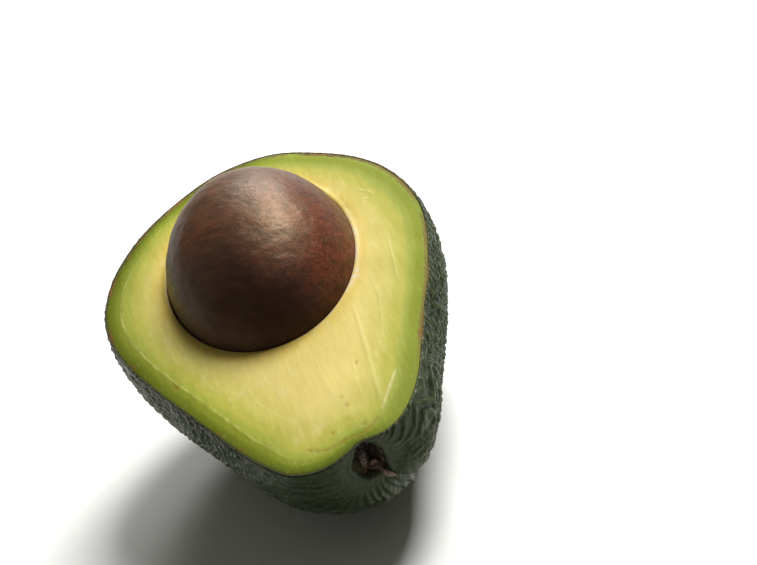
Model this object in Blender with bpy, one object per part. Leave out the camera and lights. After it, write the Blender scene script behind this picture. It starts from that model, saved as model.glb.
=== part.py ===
"""Half an avocado, cut lengthwise beside its seed: skin, flesh, seed and stem stub.

Metres, +Z up. The half rests on its belly with the cut face up and the stem end
towards -Y. The stem end dips, because the fuller seed end settles on the flat spot.
Shapes are made in the fruit's own frame, whose Y axis is the fruit's long axis, and
an empty turns that frame to the way the half lies.
"""

import math

import bmesh
import bpy

# Whole fruit: a turned pear form, fuller round the seed than at the neck
FRUIT_LENGTH = 0.096
MIDDLE_RADIUS = 0.032  # half-way along the fruit
TAPER = 0.0146  # radius that the seed end gains and the neck loses, at its most
NECK_LEAN = 0.032  # sideways slope of the long axis
CUT_HEIGHT = 0.005  # the knife passed this far above the long axis

# Layers
SKIN_THICKNESS = 0.001
GAP = 0.0003  # between pieces that touch

# Seed, measured in the fruit's frame from the middle of the long axis
SEED_LENGTH = 0.052
SEED_WIDTH = 0.0396
SEED_CENTRE = (-0.0009, 0.0142, 0.00125)

# Stem: a short woody stub in a dimple, a little beside the long axis
STEM_X = 0.0039
STEM_Z = 0.0007
STEM_RADIUS = 0.0026
STEM_LENGTH = 0.0045
STEM_TIP_Y = -0.0472
DIMPLE_DEPTH = 0.0024
DIMPLE_WIDTH = 0.0042

# How the half lies
DIP = math.radians(12)  # stem end down
FLAT_DEPTH = 0.0008  # how far the belly is pressed flat where it rests

# Fineness of the round forms
FRUIT_SIDES = 40
FRUIT_RINGS = 32
SEED_SIDES = 28
SEED_RINGS = 20
STEM_SIDES = 16

BLOCK = 0.2  # side of a cutting block, larger than the fruit


def collection(name):
    group = bpy.data.collections.new(name)
    bpy.context.scene.collection.children.link(group)
    return group


def material(name, colour, roughness):
    finish = bpy.data.materials.new(name)
    finish.use_nodes = True
    shader = finish.node_tree.nodes["Principled BSDF"]
    shader.inputs["Base Color"].default_value = (*colour, 1.0)
    shader.inputs["Roughness"].default_value = roughness
    shader.inputs["Metallic"].default_value = 0.0
    return finish


def mesh_object(name, shape, group, frame=None):
    """Turns a bmesh into a smooth-shaded object, held by the fruit's frame if one is given."""
    mesh = bpy.data.meshes.new(name)
    shape.to_mesh(mesh)
    shape.free()
    mesh.shade_smooth()
    mesh.set_sharp_from_angle(angle=math.radians(40))
    item = bpy.data.objects.new(name, mesh)
    item.parent = frame
    group.objects.link(item)
    return item


def as_cutter(item):
    item.hide_render = True
    item.display_type = "WIRE"
    return item


def cut(target, cutter):
    """Takes the cutter's volume away from the target."""
    boolean = target.modifiers.new("less_" + cutter.name, "BOOLEAN")
    boolean.operation = "DIFFERENCE"
    boolean.solver = "EXACT"
    boolean.object = cutter


# ---- forms, in the fruit's frame ----------------------------------------------


def fruit_form(inset):
    """The whole fruit's closed surface, moved inwards by the inset.

    A unit sphere's ring at cosine c and sine s gets the radius s (middle - taper c s^2),
    so both ends stay round while the seed end fills out and the neck draws in.
    """
    form = bmesh.new()
    bmesh.ops.create_uvsphere(
        form, u_segments=FRUIT_SIDES, v_segments=FRUIT_RINGS, radius=1.0
    )
    for vert in form.verts:
        across, up, along = vert.co
        fullness = MIDDLE_RADIUS - TAPER * along * (1.0 - along**2)
        y = -along * FRUIT_LENGTH / 2
        vert.co = (across * fullness - NECK_LEAN * y, y, up * fullness)
    press_dimple(form)
    form.normal_update()
    moves = [(vert, vert.normal * inset) for vert in form.verts]
    for vert, move in moves:
        vert.co -= move
    return form


def press_dimple(form):
    """Sinks a smooth dimple round the stem."""
    for vert in form.verts:
        if vert.co.y > 0:
            continue
        away = math.hypot(vert.co.x - STEM_X, vert.co.z - STEM_Z)
        vert.co.y += DIMPLE_DEPTH * math.exp(-((away / DIMPLE_WIDTH) ** 2))


def seed_form(outset):
    """The seed's closed surface, moved outwards by the outset."""
    form = bmesh.new()
    bmesh.ops.create_uvsphere(
        form, u_segments=SEED_SIDES, v_segments=SEED_RINGS, radius=1.0
    )
    wide = SEED_WIDTH / 2 + outset
    tall = SEED_LENGTH / 2 + outset
    for vert in form.verts:
        across, up, along = vert.co
        vert.co = (
            SEED_CENTRE[0] + across * wide,
            SEED_CENTRE[1] - along * tall,
            SEED_CENTRE[2] + up * wide,
        )
    return form


def stem_form(radius, length):
    """A round rod along the stem's axis, from the stub's broken tip inwards."""
    form = bmesh.new()
    bmesh.ops.create_cone(
        form,
        cap_ends=True,
        segments=STEM_SIDES,
        radius1=radius,
        radius2=radius,
        depth=length,
    )
    for vert in form.verts:
        across, up, along = vert.co
        vert.co = (
            STEM_X + across,
            STEM_TIP_Y + length / 2 - along,
            STEM_Z + up,
        )
    return form


def block_form(centre):
    """A cube for cutting, larger than the fruit."""
    form = bmesh.new()
    bmesh.ops.create_cube(form, size=BLOCK)
    for vert in form.verts:
        vert.co.x += centre[0]
        vert.co.y += centre[1]
        vert.co.z += centre[2]
    return form


# ---- the way the half lies ----------------------------------------------------


def fruit_frame(group):
    """The empty that turns the fruit's frame, lowered until the floor presses the belly flat."""
    frame = bpy.data.objects.new("fruit_frame", None)
    frame.rotation_euler = (DIP, 0.0, 0.0)
    group.objects.link(frame)
    surface = fruit_form(0.0)
    turn = frame.rotation_euler.to_matrix()
    lowest = min((turn @ vert.co).z for vert in surface.verts)
    surface.free()
    frame.location.z = -lowest - FLAT_DEPTH
    return frame


def centre_on(frame, item):
    """Slides the frame level until the item's box is centred on the Z axis."""
    bpy.context.view_layer.update()
    shown = item.evaluated_get(bpy.context.evaluated_depsgraph_get())
    corners = [shown.matrix_world @ vert.co for vert in shown.data.vertices]
    for axis in (0, 1):
        low = min(corner[axis] for corner in corners)
        high = max(corner[axis] for corner in corners)
        frame.location[axis] -= (low + high) / 2
    bpy.context.view_layer.update()


# ---- cutters ------------------------------------------------------------------


def floor_block(name, height, cutters):
    """Everything below the given height above the table."""
    form = block_form((0.0, 0.0, height - BLOCK / 2))
    return as_cutter(mesh_object(name, form, cutters))


def knife_block(cutters, frame):
    """Everything above the knife's cut."""
    form = block_form((0.0, 0.0, CUT_HEIGHT + BLOCK / 2))
    return as_cutter(mesh_object("above_knife", form, cutters, frame))


def within_skin(cutters, frame):
    """The space inside the skin, with the pressed flat raised by the skin's thickness."""
    core = mesh_object("within_skin", fruit_form(SKIN_THICKNESS), cutters, frame)
    cut(core, floor_block("floor_within_skin", SKIN_THICKNESS, cutters))
    return as_cutter(core)


def stem_hole(cutters, frame):
    form = stem_form(STEM_RADIUS + GAP, 2 * STEM_LENGTH)
    return as_cutter(mesh_object("stem_hole", form, cutters, frame))


def seed_room(cutters, frame):
    return as_cutter(mesh_object("seed_room", seed_form(GAP), cutters, frame))


# ---- the avocado's pieces -----------------------------------------------------


def make_skin(parts, frame, floor, knife, inside, hole):
    skin = mesh_object("skin", fruit_form(0.0), parts, frame)
    cut(skin, inside)
    cut(skin, hole)
    cut(skin, knife)
    cut(skin, floor)
    skin.data.materials.append(material("dark_green_skin", (0.022, 0.055, 0.02), 0.42))
    return skin


def make_flesh(parts, frame, floor, knife, room):
    flesh = mesh_object("flesh", fruit_form(SKIN_THICKNESS + GAP), parts, frame)
    cut(flesh, room)
    cut(flesh, knife)
    cut(flesh, floor)
    flesh.data.materials.append(material("pale_green_flesh", (0.68, 0.68, 0.22), 0.5))
    return flesh


def make_seed(parts, frame):
    seed = mesh_object("seed", seed_form(0.0), parts, frame)
    seed.data.materials.append(material("brown_seed", (0.11, 0.045, 0.03), 0.5))
    return seed


def make_stem_stub(parts, frame, inside):
    stub = mesh_object("stem_stub", stem_form(STEM_RADIUS, STEM_LENGTH), parts, frame)
    cut(stub, inside)
    stub.data.materials.append(material("dry_stem", (0.09, 0.04, 0.025), 0.85))
    return stub


def clear_scene():
    for item in list(bpy.data.objects):
        bpy.data.objects.remove(item)


def main():
    clear_scene()
    parts = collection("avocado_half")
    cutters = collection("cutters")
    frame = fruit_frame(parts)
    floor = floor_block("floor", 0.0, cutters)
    flesh_floor = floor_block("floor_under_flesh", SKIN_THICKNESS + GAP, cutters)
    knife = knife_block(cutters, frame)
    inside = within_skin(cutters, frame)
    skin = make_skin(parts, frame, floor, knife, inside, stem_hole(cutters, frame))
    make_flesh(parts, frame, flesh_floor, knife, seed_room(cutters, frame))
    make_seed(parts, frame)
    make_stem_stub(parts, frame, inside)
    centre_on(frame, skin)


main()
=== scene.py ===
# %% [markdown]
# # Half an avocado, step by step
#
# This lesson dresses a plain solid model of half an avocado: its skin, flesh, seed and
# stem stub. The solid model is the frame. It says how big each piece is and where it
# lies, and every piece below is built on the same few sizes, so nothing is fitted by
# hand afterwards. Lengths are in metres, because that is what Blender uses.

# %% Load the frame
import math

import bpy
import numpy as np
from mathutils import Matrix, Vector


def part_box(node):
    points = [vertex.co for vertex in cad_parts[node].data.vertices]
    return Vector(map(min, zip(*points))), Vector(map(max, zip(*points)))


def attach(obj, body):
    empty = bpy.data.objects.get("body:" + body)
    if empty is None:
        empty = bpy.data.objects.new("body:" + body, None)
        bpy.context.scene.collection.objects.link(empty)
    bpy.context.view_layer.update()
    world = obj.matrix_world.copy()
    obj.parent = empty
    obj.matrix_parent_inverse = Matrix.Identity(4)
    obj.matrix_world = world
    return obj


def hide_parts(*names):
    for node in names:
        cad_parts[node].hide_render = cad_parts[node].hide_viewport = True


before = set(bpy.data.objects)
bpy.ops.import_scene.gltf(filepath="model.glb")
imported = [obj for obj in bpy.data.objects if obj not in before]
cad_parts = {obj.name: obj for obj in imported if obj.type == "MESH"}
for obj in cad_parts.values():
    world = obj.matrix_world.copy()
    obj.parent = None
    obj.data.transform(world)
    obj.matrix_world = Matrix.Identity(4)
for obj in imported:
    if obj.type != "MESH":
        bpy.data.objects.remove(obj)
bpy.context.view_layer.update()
print("pieces in the frame:", sorted(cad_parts))

# %% [markdown]
# ## The fruit's own frame
#
# A cut avocado doesn't lie level. It is fullest round its seed, so it rests on a small
# flat spot there and its stem end dips. It could be modelled as it lies, but a form is
# much easier to describe along its own axis. So each shape below is made in the fruit's
# frame, with Y along the fruit and the cut level with X and Y, and is turned afterwards.
# The seed's box tells where the turned frame sits.

# %% Turn fruit coordinates into the frame's
MM = 0.001
DIP = math.radians(12)
SEED_CENTRE = np.array([-0.9, 14.2, 1.25]) * MM
TURN = np.array(
    [
        [1.0, 0.0, 0.0],
        [0.0, math.cos(DIP), -math.sin(DIP)],
        [0.0, math.sin(DIP), math.cos(DIP)],
    ]
)
seed_low, seed_high = (np.array(corner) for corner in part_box("seed"))
FRUIT_AT = (seed_low + seed_high) / 2 - TURN @ SEED_CENTRE


def to_world(points):
    """Fruit coordinates to the frame's coordinates."""
    return points @ TURN.T + FRUIT_AT


def columns(x, y, z):
    """Points from their three coordinates, which may be arrays or plain numbers."""
    return np.stack(np.broadcast_arrays(x, y, z), axis=-1)


def circle(count):
    """Angles that go evenly round a full turn."""
    return np.linspace(0.0, 2.0 * math.pi, count, endpoint=False)


def unit(vectors):
    """The same directions with a length of 1."""
    return vectors / np.linalg.norm(vectors, axis=-1, keepdims=True)


print("fruit frame sits at", np.round(FRUIT_AT / MM, 2), "mm")

# %% [markdown]
# ## The camera comes first
#
# Everything else is judged through the camera, so it is set before any piece is made.
# It looks down on the cut at 40 degrees from the stem end, through a long lens half a
# metre away, and it is rolled so that the cut leans to the left.

# %% Place the camera
CUT = 5.0 * MM  # the cut's height above the fruit's long axis
VIEW_HEIGHT = math.radians(40.0)
VIEW_SIDE = math.radians(0.5)
VIEW_ROLL = math.radians(-25.25)
VIEW_DISTANCE = 0.5
AIM = np.array([18.96 * MM, -6.56 * MM, CUT])


def set_up(item, axes, place):
    """Puts a camera or lamp at a place, turned to three axis directions."""
    matrix = np.eye(4)
    matrix[:3, :3] = np.array(axes).T
    matrix[:3, 3] = place
    item.matrix_world = Matrix(matrix.tolist())
    bpy.context.scene.collection.objects.link(item)


flat = math.cos(VIEW_HEIGHT)
back = np.array([flat * math.sin(VIEW_SIDE), -flat * math.cos(VIEW_SIDE), math.sin(VIEW_HEIGHT)])
level = unit(np.cross((0.0, 0.0, 1.0), back))
right = level * math.cos(VIEW_ROLL) + np.cross(back, level) * math.sin(VIEW_ROLL)
RIGHT, UP, BACK = (TURN @ axis for axis in (right, np.cross(back, right), back))

lens = bpy.data.cameras.new("camera")
lens.lens = 123.6
lens.sensor_width = 36.0
lens.clip_start = 0.01
camera = bpy.data.objects.new("camera", lens)
set_up(camera, (RIGHT, UP, BACK), to_world(AIM) + BACK * VIEW_DISTANCE)
bpy.context.scene.camera = camera
print("camera at", np.round(np.array(camera.location), 3))

# %% [markdown]
# ## Helpers for node trees
#
# Materials and Geometry Nodes are both trees of nodes. Written out in full, each node
# takes a handful of lines, so a few helpers add them. A node's output is wrapped as a
# Value, and + - * or / between values adds the node that works out the result.


# %% Helpers for nodes
def sign(operation, turned_round=False):
    """What + - * or / does between a Value and something else."""
    if turned_round:
        return lambda value, other: work_out(operation, other, value)
    return lambda value, other: work_out(operation, value, other)


class Value:
    """A node's output, a number or a vector, that further values are worked out from."""

    def __init__(self, socket):
        self.socket = socket
        self.tree = socket.id_data
        self.is_number = socket.type == "VALUE"

    __add__ = sign("ADD")
    __sub__ = sign("SUBTRACT")
    __rsub__ = sign("SUBTRACT", turned_round=True)
    __mul__ = sign("MULTIPLY")
    __truediv__ = sign("DIVIDE")
    __rtruediv__ = sign("DIVIDE", turned_round=True)


def fill(node, inputs):
    """Sets a node's inputs, and links those that are given as values of other nodes."""
    for key, value in inputs.items():
        if isinstance(value, Value):
            node.id_data.links.new(value.socket, node.inputs[key])
        else:
            node.inputs[key].default_value = value


def add(tree, kind, inputs=None, output=0, **settings):
    """Adds a node and gives one of its outputs."""
    node = tree.nodes.new(kind)
    for name, value in settings.items():
        setattr(node, name, value)
    fill(node, inputs or {})
    return Value(node.outputs[output])


def maths(operation, *values):
    """A number worked out from other numbers."""
    tree = next(value.tree for value in values if isinstance(value, Value))
    return add(tree, "ShaderNodeMath", dict(enumerate(values)), operation=operation)


def vector_maths(operation, inputs, output=0):
    """A vector worked out from other values. Output 1 is a number instead."""
    return add(inputs[0].tree, "ShaderNodeVectorMath", inputs, output, operation=operation)


def work_out(operation, first, second):
    """A number from two numbers, or a vector from a vector and a vector or number."""
    if isinstance(first, float) or first.is_number:
        return maths(operation, first, second)
    if isinstance(second, float) or isinstance(second, Value) and second.is_number:
        return vector_maths("SCALE", {0: first, 3: second})
    return vector_maths(operation, {0: first, 1: second})


def parts_of(vector):
    """A vector's X, Y and Z."""
    return [add(vector.tree, "ShaderNodeSeparateXYZ", {0: vector}, index) for index in range(3)]


def spread(value, start, end, low=0.0, high=1.0):
    """Goes smoothly from low to high while a value goes from start to end."""
    keys = ("Value", "From Min", "From Max", "To Min", "To Max")
    inputs = dict(zip(keys, (value, start, end, low, high)))
    return add(value.tree, "ShaderNodeMapRange", inputs, interpolation_type="SMOOTHSTEP")


def noise(where, scale, detail=2.0, roughness=0.5, output="Fac"):
    """Cloudy noise at a place: a number round a half, or three of them as a colour."""
    inputs = {"Vector": where, "Scale": scale, "Detail": detail, "Roughness": roughness}
    return add(where.tree, "ShaderNodeTexNoise", inputs, output)


def blend(amount, first, second):
    """Mixes two colours."""
    inputs = {0: amount}
    for key, colour in ((6, first), (7, second)):
        inputs[key] = (*colour, 1.0) if isinstance(colour, tuple) else colour
    return add(amount.tree, "ShaderNodeMix", inputs, 2, data_type="RGBA")


def layered(colour, *layers):
    """Lays colours over one another, each as thickly as its amount says."""
    for amount, over in layers:
        colour = blend(amount, colour, over)
    return colour


def ramp(value, stops):
    """A band of colours along a value, given as (place, colour) stops."""
    node = value.tree.nodes.new("ShaderNodeValToRGB")
    fill(node, {"Fac": value})
    node.color_ramp.interpolation = "EASE"
    elements = node.color_ramp.elements
    while len(elements) < len(stops):
        elements.new(0.5)
    for element, (place, colour) in zip(elements, stops):
        element.position = place
        element.color = (*colour, 1.0)
    return Value(node.outputs["Color"])


def bump(height, strength, distance, **more):
    """Relief that is too fine for the mesh, for a shader's Normal input."""
    inputs = {"Height": height, "Strength": strength, "Distance": distance, **more}
    return add(height.tree, "ShaderNodeBump", inputs)


def attribute(tree, name, output="Fac"):
    """A value stored on the mesh, read in a material."""
    return add(tree, "ShaderNodeAttribute", output=output, attribute_name=name)


def new_material(name):
    """An empty material, its tree and its Principled shader."""
    finish = bpy.data.materials.new(name)
    finish.use_nodes = True
    return finish, finish.node_tree, finish.node_tree.nodes["Principled BSDF"]


print("node helpers ready")

# %% [markdown]
# ## The fruit's form
#
# An avocado is a turned form like a pear. Going along its axis from the stem, the ring at
# cosine c and sine s has the radius s (middle - taper c s^2): both ends stay round, the
# seed end fills out and the neck draws in. Real fruit is never quite even, so a few soft
# swells are laid over the turned form. A dimple and a ragged recess are sunk at the neck
# end, where the stem has torn out.


# %% The fruit's surface as a formula
HALF_LENGTH = 48.0 * MM
MIDDLE_RADIUS = 32.0 * MM
TAPER = 14.6 * MM
NECK_LEAN = 0.032
STEM = np.array([3.9, -45.0, 0.7]) * MM
DIMPLE_DEPTH = 3.0 * MM
DIMPLE_WIDTH = 4.6 * MM
SCAR_HALF_WIDTH = 2.9 * MM
SCAR_HALF_HEIGHT = 3.75 * MM
RECESS_DEPTH = 2.4 * MM
BRIM_HEIGHT = 0.25 * MM
FULL_BELOW = 2.5 * MM  # how far below the cut the recess has its full form
FAR_ENOUGH = 0.12  # longer than any ray inside the fruit
SWELLS = (  # place in the fruit's frame, reach and height, all in millimetres
    ((-9.0, -46.0, 4.0), 7.0, 1.5),
    ((4.0, -46.0, 6.0), 3.5, -0.8),
    ((10.0, 45.5, 3.0), 9.0, 1.0),
    ((32.0, 20.0, 3.0), 11.0, -0.8),
    ((28.5, -11.0, 3.0), 8.0, 0.4),
    ((-10.5, 45.0, 3.0), 7.0, -0.5),
    ((-18.0, 5.0, -30.0), 16.0, -0.5),
    ((14.0, 30.0, -26.0), 15.0, 0.5),
)


def fade(value, half, power=2):
    """1 at nought, falling away over a half-width on both sides."""
    return np.exp(-((value / half) ** power))


def smooth_step(value, start, end):
    """Rises smoothly from 0 at the start to 1 at the end."""
    share = np.clip((value - start) / (end - start), 0.0, 1.0)
    return share * share * (3.0 - 2.0 * share)


def ring_radius(along):
    """The turned form's radius at a place along the axis."""
    cosine = np.clip(-along / HALF_LENGTH, -1.0, 1.0)
    sine_squared = 1.0 - cosine**2
    return np.sqrt(sine_squared) * (MIDDLE_RADIUS - TAPER * cosine * sine_squared)


def outward(points):
    """Unit normals of the turned form."""
    cosine = np.clip(-points[..., 1] / HALF_LENGTH, -0.9999, 0.9999)
    sine_squared = 1.0 - cosine**2
    slope = -cosine * (MIDDLE_RADIUS - TAPER * cosine * sine_squared)
    slope = slope - sine_squared * TAPER * (sine_squared - 2.0 * cosine**2)
    across = points[..., 0] + NECK_LEAN * points[..., 1]
    radius = np.maximum(np.hypot(across, points[..., 2]), 1e-9)
    sideways = np.sqrt(sine_squared) * across / radius
    upwards = np.sqrt(sine_squared) * points[..., 2] / radius
    return unit(columns(sideways, NECK_LEAN * sideways + slope / HALF_LENGTH, upwards))


def ray_hit(start, directions):
    """Where rays from inside meet the turned form, found by halving."""
    near = np.zeros(directions.shape[:-1])
    far = near + FAR_ENOUGH
    for _ in range(36):
        middle = (near + far) / 2
        place = start + directions * middle[..., None]
        across = place[..., 0] + NECK_LEAN * place[..., 1]
        inside = np.hypot(across, place[..., 2]) < ring_radius(place[..., 1])
        inside &= np.abs(place[..., 1]) < HALF_LENGTH
        near = np.where(inside, middle, near)
        far = np.where(inside, far, middle)
    return start + directions * near[..., None]


def scar_edge(around):
    """The scar's ragged outline, as a share of its plain oval. Around is 0 at the top."""
    slow = 0.07 * np.sin(3 * around + 1.0) + 0.05 * np.sin(5 * around + 2.0)
    return 1.0 + slow + 0.03 * np.sin(11 * around)


def scar_reach(points):
    """How far out a point lies from the scar's middle: 1 is its edge."""
    across = points[..., 0] - STEM[0]
    up = points[..., 2] - STEM[2]
    plain = np.hypot(across / SCAR_HALF_WIDTH, up / SCAR_HALF_HEIGHT)
    return plain / scar_edge(np.arctan2(across, up))


def uneven(points, inset, spare=0.0):
    """The turned form's points with an inset, the swells, and the stem's dimple and recess.

    Spare widens the recess below the cut, as a share of its own width.
    """
    height = np.full(points.shape[:-1], -inset)
    for place, reach, rise in SWELLS:
        away = np.linalg.norm(points - np.array(place) * MM, axis=-1)
        height = height + rise * MM * fade(away, reach * MM)
    moved = points + outward(points) * height[..., None]
    away = np.hypot(points[..., 0] - STEM[0], points[..., 2] - STEM[2])
    reach = scar_reach(points)
    room = spare * smooth_step(points[..., 2], CUT - 0.5 * MM, CUT - FULL_BELOW)
    sunk = DIMPLE_DEPTH * fade(away, DIMPLE_WIDTH)
    sunk = sunk + RECESS_DEPTH * (1.0 - smooth_step(reach - room, 0.82, 1.06))
    brim = fade(reach - 1.25, 0.16) * smooth_step(points[..., 2], CUT, CUT - FULL_BELOW)
    moved[..., 1] += (sunk - BRIM_HEIGHT * brim) * (points[..., 1] < 0)
    return moved


widest = ring_radius(np.linspace(-HALF_LENGTH, HALF_LENGTH, 500)).max()
print("widest ring has a radius of", round(float(widest / MM), 1), "mm")

# %% [markdown]
# ## Where the knife went
#
# The cut looks flat, but a knife that meets ripe flesh doesn't leave a true plane. Along
# the left side the flesh falls away outside a crisp line about 3 mm in from the skin,
# and the rest waves by a tenth of a millimetre. Both the skin's edge and the flesh
# follow this height, so they stay flush.

# %% The cut's height
STEP_IN = 3.2 * MM  # from the skin to the crisp line
STEP_DROP = 0.45 * MM
EDGE_DROP = 0.13 * MM  # how far the flesh is rounded down at the skin


def left_side(x, y):
    """1 where the flesh falls away along the left edge, 0 elsewhere."""
    from_stem = np.clip((y + 43.0 * MM) / (9.0 * MM), 0.0, 1.0)
    from_far = np.clip((34.0 * MM - y) / (12.0 * MM), 0.0, 1.0)
    sideways = np.clip((-x - 1.0 * MM) / (6.0 * MM), 0.0, 1.0)
    return smooth_step(from_stem * from_far * sideways, 0.0, 1.0)


def cut_height(x, y, from_edge):
    """Height of the cut, given the distance from the skin's edge."""
    outside = np.clip(1.0 - from_edge / STEP_IN, 0.0, 1.0)
    fall = STEP_DROP * outside * left_side(x, y)
    wave = 0.10 * np.sin(x / (7.0 * MM) + 0.6) * np.sin(y / (11.0 * MM))
    bent = x / (2.6 * MM) + 1.5 * np.sin(y / (5.0 * MM))
    ripple = 0.06 * np.sin(bent) * np.sin(y / (4.2 * MM) + 1.0)
    return CUT - fall + (wave + ripple) * MM - EDGE_DROP * fade(from_edge, 0.9 * MM)


drop = float(CUT - cut_height(-30.0 * MM, 0.0, 0.0))
print("the cut falls", round(drop / MM, 2), "mm at the left edge")

# %% [markdown]
# ## A bowl laid in rings
#
# Skin and flesh are both bowls below the cut. Rays from a point on the cut fan out
# downwards, and each ray's meeting point with the fruit becomes a vertex, so the rings
# run evenly from the belly up to the cut. The last ring is slid along the surface until
# it meets the cut exactly, which a Boolean can't do as cleanly on a fine mesh.

# %% Rings from the belly to the cut
FAN = (34.0, 48.0, 39.0)  # the fan's width, length and depth, which keep the rings even


def bowl_rings(turns, steps, inset, centre, crowd=0.0, top_gap=0.0, spare=0.0):
    """Rings of points, (steps, turns, 3), from just above the belly's pole to the cut.

    Crowd brings the turns closer together at the stem end. The top gap is left free
    between the last ring and the cut.
    """
    turn = circle(turns) - crowd * np.cos(circle(turns))
    start = np.array([*centre, CUT])

    def at(level):  # level 0 is straight down, and 1 is level with the cut
        angle = level * math.pi / 2
        aim = columns(np.sin(angle) * np.cos(turn), np.sin(angle) * np.sin(turn), -np.cos(angle))
        return uneven(ray_hit(start, unit(aim * FAN)), inset, spare)

    low, high = np.full(turns, 0.8), np.full(turns, 1.2)
    for _ in range(26):
        middle = (low + high) / 2
        point = at(middle)
        under = point[:, 2] < cut_height(point[:, 0], point[:, 1], 0.0) - top_gap
        low = np.where(under, middle, low)
        high = np.where(under, high, middle)
    share = np.linspace(0.0, 1.0, steps + 1)[1:]
    share = share * (1.25 - 0.25 * share)
    return np.stack([at(step * low) for step in share])


def ringed_mesh(name, rings, first_pole, last_pole, values):
    """A closed mesh from rings and its two poles, with values stored on its vertices."""
    steps, turns = rings.shape[:2]
    points = np.concatenate([[first_pole], rings.reshape(-1, 3), [last_pole]])
    index = np.arange(steps * turns).reshape(steps, turns) + 1
    after = np.roll(index, -1, axis=1)
    quads = np.stack([index[:-1], after[:-1], after[1:], index[1:]], axis=-1).reshape(-1, 4)
    first = columns(0, after[0], index[0])
    last = columns(len(points) - 1, index[-1], after[-1])
    mesh = bpy.data.meshes.new(name)
    mesh.from_pydata(points, [], [*quads.tolist(), *first.tolist(), *last.tolist()])
    for key, value in values.items():
        kind, field = ("FLOAT_VECTOR", "vector") if value.ndim == 2 else ("FLOAT", "value")
        layer = mesh.attributes.new(key, kind, "POINT")
        layer.data.foreach_set(field, value.astype(np.float32).ravel())
    mesh.shade_smooth()
    piece = bpy.data.objects.new(name, mesh)
    bpy.context.scene.collection.objects.link(piece)
    return piece


def on_table(points, height):
    """Points in the frame's coordinates, pressed flat where they would sink below a height."""
    world = to_world(points)
    world[..., 2] = np.maximum(world[..., 2], height)
    return world


def triangles(piece):
    """How many triangles a piece's faces come to."""
    return sum(len(face.vertices) - 2 for face in piece.data.polygons)


# %% [markdown]
# ## Skin
#
# The skin is a leathery rind half a millimetre thick. It could be a Solidify modifier on
# an open bowl, but that doubles every face, and the inner wall is never seen. Here the
# fine outer rings turn over a small rounded lip at the cut, and a few plain inner rings
# close the shell. Four values are stored for later steps: the place on the fruit, how
# far pebbles may rise, how near the cut lies, and where the stem's scar is.

# %% Lay the skin's rings
SKIN = 0.5 * MM
SKIN_TURNS = 600
BOWL_CENTRE = (0.0, 3.0 * MM)
LIP = ((0.08, 0.02), (0.25, 0.0), (0.42, 0.02))  # inset and gap below the cut, in millimetres
LIP_RISE = (0.9, 0.5, 0.1)


def skin_layer(steps, inset, top_gap):
    """Rings of the skin, closer together at the stem end, where the wrinkles are fine."""
    return bowl_rings(SKIN_TURNS, steps, inset, BOWL_CENTRE, crowd=0.32, top_gap=top_gap)


outer = skin_layer(124, 0.0, 0.12 * MM)
lip = [skin_layer(1, inset * MM, gap * MM)[0] for inset, gap in LIP]
inner = skin_layer(14, SKIN, 0.15 * MM)[::-1]
skin_rings = np.concatenate([outer, lip, inner])
row_rise = np.concatenate([np.ones(len(outer)), LIP_RISE, np.zeros(len(inner))])
row_press = np.concatenate([np.zeros(len(outer) + len(lip)), np.full(len(inner), SKIN)])

downwards = np.array([[0.0, 0.0, -1.0]])
belly = uneven(ray_hit(np.array([*BOWL_CENTRE, CUT]), downwards), 0.0)[0]
belly_inside = belly + (0.0, 0.0, SKIN)
fruit_place = np.concatenate([[belly], skin_rings.reshape(-1, 3), [belly_inside]])
below_cut = np.maximum(CUT - fruit_place[:, 2], 0.0)
skin = ringed_mesh(
    "pebbled_skin",
    on_table(skin_rings, row_press[:, None]),
    on_table(belly, 0.0),
    on_table(belly_inside, SKIN),
    {
        "fruit_place": fruit_place,
        "rise": np.concatenate([[1.0], np.repeat(row_rise, SKIN_TURNS), [0.0]]),
        "lying": fade(below_cut, 1.6 * MM),
        "scar": smooth_step(scar_reach(fruit_place), 1.12, 0.92) * (fruit_place[:, 1] < 0),
    },
)
print("skin:", triangles(skin), "triangles")

# %% [markdown]
# ## Pebbles and wrinkles by Geometry Nodes
#
# The rind is covered in small pebbles that stretch along the fruit. Towards the stem
# they give way to fine wrinkles that run to the stem like the gathers of a bag. Both
# follow a rule over a surface, so Geometry Nodes raise them: a cell texture makes the
# pebbles, and waves round the stem, bent by noise, make the wrinkles. How strongly each
# stands out is stored too, so that the material can paint shade into the valleys.


# %% The rind's tree
def begin_tree(name, **kinds):
    """A Geometry Nodes tree, and its inputs by name. They are listed by what they hold."""
    tree = bpy.data.node_groups.new(name, "GeometryNodeTree")
    tree.is_modifier = True
    tree.interface.new_socket("Geometry", in_out="OUTPUT", socket_type="NodeSocketGeometry")
    for kind, keys in kinds.items():
        for key in keys:
            tree.interface.new_socket(key, in_out="INPUT", socket_type="NodeSocket" + kind)
    outputs = tree.nodes.new("NodeGroupInput").outputs
    return tree, {socket.name: Value(socket) for socket in outputs}


def end_tree(tree, geometry, finish):
    """Makes the geometry real, gives it its material and hands it out of the tree."""
    real = add(tree, "GeometryNodeRealizeInstances", {0: geometry})
    done = add(tree, "GeometryNodeSetMaterial", {"Geometry": real, "Material": finish})
    fill(tree.nodes.new("NodeGroupOutput"), {0: done})
    return tree


def named(tree, name, kind="FLOAT"):
    """A value stored on the mesh, read in Geometry Nodes."""
    return add(tree, "GeometryNodeInputNamedAttribute", {"Name": name}, "Attribute", data_type=kind)


def store(geometry, name, value, kind="FLOAT"):
    """Stores a value on the vertices, for the material to read."""
    inputs = {"Geometry": geometry, "Name": name, "Value": value}
    return add(geometry.tree, "GeometryNodeStoreNamedAttribute", inputs, data_type=kind)


def moved(geometry, **inputs):
    """Moves the vertices to a Position, or by an Offset."""
    return add(geometry.tree, "GeometryNodeSetPosition", {"Geometry": geometry, **inputs})


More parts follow.
